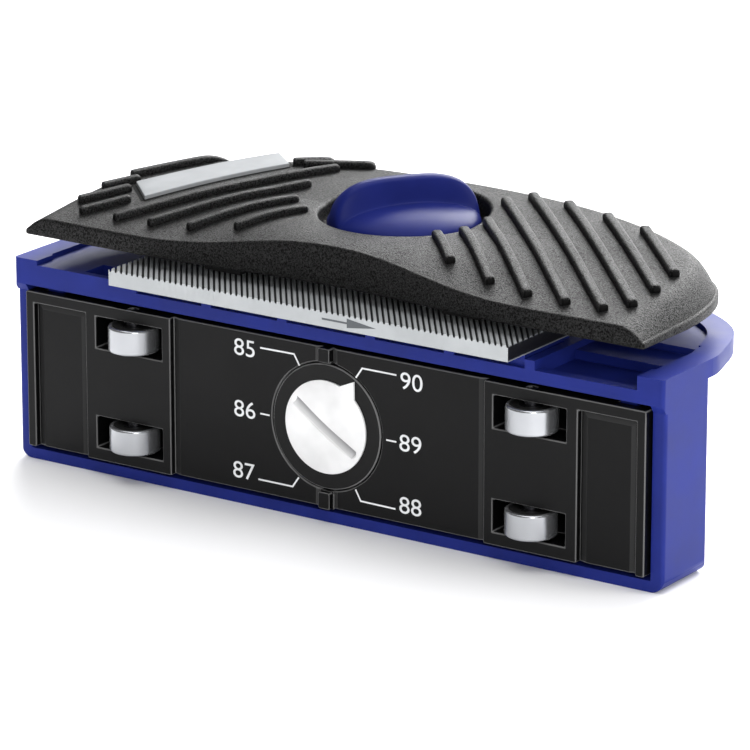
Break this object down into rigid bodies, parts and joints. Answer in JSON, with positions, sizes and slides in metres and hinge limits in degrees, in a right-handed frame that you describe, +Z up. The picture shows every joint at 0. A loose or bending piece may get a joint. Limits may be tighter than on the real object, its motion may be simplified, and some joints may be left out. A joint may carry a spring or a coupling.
{
  "type": "edge beveler",
  "caption": "Roller guide with a clamped file under a palm cover and a tilting roller plate, for filing a ski's side edge at a dialled angle.",
  "frame": {"origin": "centre of the flat bottom face of the housing", "axes": "+Z up from the bottom face, +X along the tool's length, -Y towards the rollers and the file's cutting edge"},
  "size_m": [0.163, 0.066, 0.069],
  "materials": {
    "blue_plastic": "fine satin moulded plastic",
    "black_plate": "matt moulded plastic with glossier fillets",
    "black_palm": "coarse spark-eroded grain",
    "white_plastic": "satin",
    "dial_black": "satin",
    "bright_steel": "ground and polished",
    "file_steel": "bright satin with milled teeth",
    "zinc_steel": "zinc plated",
    "spring_steel": "drawn wire",
    "badge_silver": "brushed silver foil",
    "shield_black": "black seal",
    "pad_rubber": "matt rubber",
    "dark_steel": "blackened, with turned rings",
    "cage_nylon": "nylon"
  },
  "bodies": {
    "base": {"housing": "blue_plastic", "cam_stud": "zinc_steel", "clamp_nut": "zinc_steel", "lift_spring": "spring_steel"},
    "file_body": {"file": "file_steel"},
    "plate": {"angle_plate": "black_plate", "hinge_pins": "bright_steel", "axle_pins": "dark_steel", "inner_rings": "dark_steel", "spacers": "dark_steel", "detent_ball": "bright_steel", "detent_plug": "pad_rubber"},
    "dial": {"dial_rotor": "dial_black", "dial_cap": "white_plastic", "dial_cam": "dial_black", "cam_screw": "zinc_steel"},
    "handle_body": {"handle": "black_palm", "clamp_pads": "pad_rubber", "badge": "badge_silver", "washer": "zinc_steel"},
    "knob": {"clamp_knob": "blue_plastic", "clamp_screw": "zinc_steel"},
    "wheel_top_left": {"roller_top_left": "bright_steel", "shields_top_left": "shield_black"},
    "retainer_top_left": {"balls_top_left": "bright_steel", "cage_top_left": "cage_nylon"},
    "wheel_top_right": {"roller_top_right": "bright_steel", "shields_top_right": "shield_black"},
    "retainer_top_right": {"balls_top_right": "bright_steel", "cage_top_right": "cage_nylon"},
    "wheel_low_left": {"roller_low_left": "bright_steel", "shields_low_left": "shield_black"},
    "retainer_low_left": {"balls_low_left": "bright_steel", "cage_low_left": "cage_nylon"},
    "wheel_low_right": {"roller_low_right": "bright_steel", "shields_low_right": "shield_black"},
    "retainer_low_right": {"balls_low_right": "bright_steel", "cage_low_right": "cage_nylon"}
  },
  "joints": [
    {"name": "file_slide", "type": "slide", "parent": "base", "child": "file_body", "axis": [0, -1, 0], "range_m": [0, 0.03]},
    {"name": "plate_tilt", "type": "hinge", "parent": "base", "child": "plate", "pos_m": [0, -0.0052, 0.0363], "axis": [-1, 0, 0], "range_deg": [0, 5]},
    {"name": "dial_turn", "type": "hinge", "parent": "plate", "child": "dial", "pos_m": [0, -0.0084, 0.0212], "axis": [0, 1, 0], "range_deg": [0, 300]},
    {"name": "handle_lift", "type": "slide", "parent": "base", "child": "handle_body", "axis": [0, 0, 1], "range_m": [0, 0.002], "deforming": ["lift_spring"]},
    {"name": "knob_turn", "type": "hinge", "parent": "handle_body", "child": "knob", "pos_m": [0, 0.0196, 0.0577], "axis": [0, 0, 1], "range_deg": [0, 720]},
    {"name": "roller_spin_top_left", "type": "hinge", "parent": "plate", "child": "wheel_top_left", "pos_m": [-0.0502, -0.0087, 0.0321], "axis": [0, 0, 1], "continuous": true},
    {"name": "balls_orbit_top_left", "type": "hinge", "parent": "plate", "child": "retainer_top_left", "pos_m": [-0.0502, -0.0087, 0.0321], "axis": [0, 0, 1], "continuous": true},
    {"name": "roller_spin_top_right", "type": "hinge", "parent": "plate", "child": "wheel_top_right", "pos_m": [0.0502, -0.0087, 0.0321], "axis": [0, 0, 1], "continuous": true},
    {"name": "balls_orbit_top_right", "type": "hinge", "parent": "plate", "child": "retainer_top_right", "pos_m": [0.0502, -0.0087, 0.0321], "axis": [0, 0, 1], "continuous": true},
    {"name": "roller_spin_low_left", "type": "hinge", "parent": "plate", "child": "wheel_low_left", "pos_m": [-0.0502, -0.0087, 0.0099], "axis": [0, 0, 1], "continuous": true},
    {"name": "balls_orbit_low_left", "type": "hinge", "parent": "plate", "child": "retainer_low_left", "pos_m": [-0.0502, -0.0087, 0.0099], "axis": [0, 0, 1], "continuous": true},
    {"name": "roller_spin_low_right", "type": "hinge", "parent": "plate", "child": "wheel_low_right", "pos_m": [0.0502, -0.0087, 0.0099], "axis": [0, 0, 1], "continuous": true},
    {"name": "balls_orbit_low_right", "type": "hinge", "parent": "plate", "child": "retainer_low_right", "pos_m": [0.0502, -0.0087, 0.0099], "axis": [0, 0, 1], "continuous": true}
  ],
  "couplings": [
    {"joint": "plate_tilt", "follows": "dial_turn", "ratio": 0.016667},
    {"joint": "knob_turn", "follows": "handle_lift", "rad_per_m": 6283.2},
    {"joint": "balls_orbit_top_left", "follows": "roller_spin_top_left", "ratio": 0.61},
    {"joint": "balls_orbit_top_right", "follows": "roller_spin_top_right", "ratio": 0.61},
    {"joint": "balls_orbit_low_left", "follows": "roller_spin_low_left", "ratio": 0.61},
    {"joint": "balls_orbit_low_right", "follows": "roller_spin_low_right", "ratio": 0.61}
  ]
}
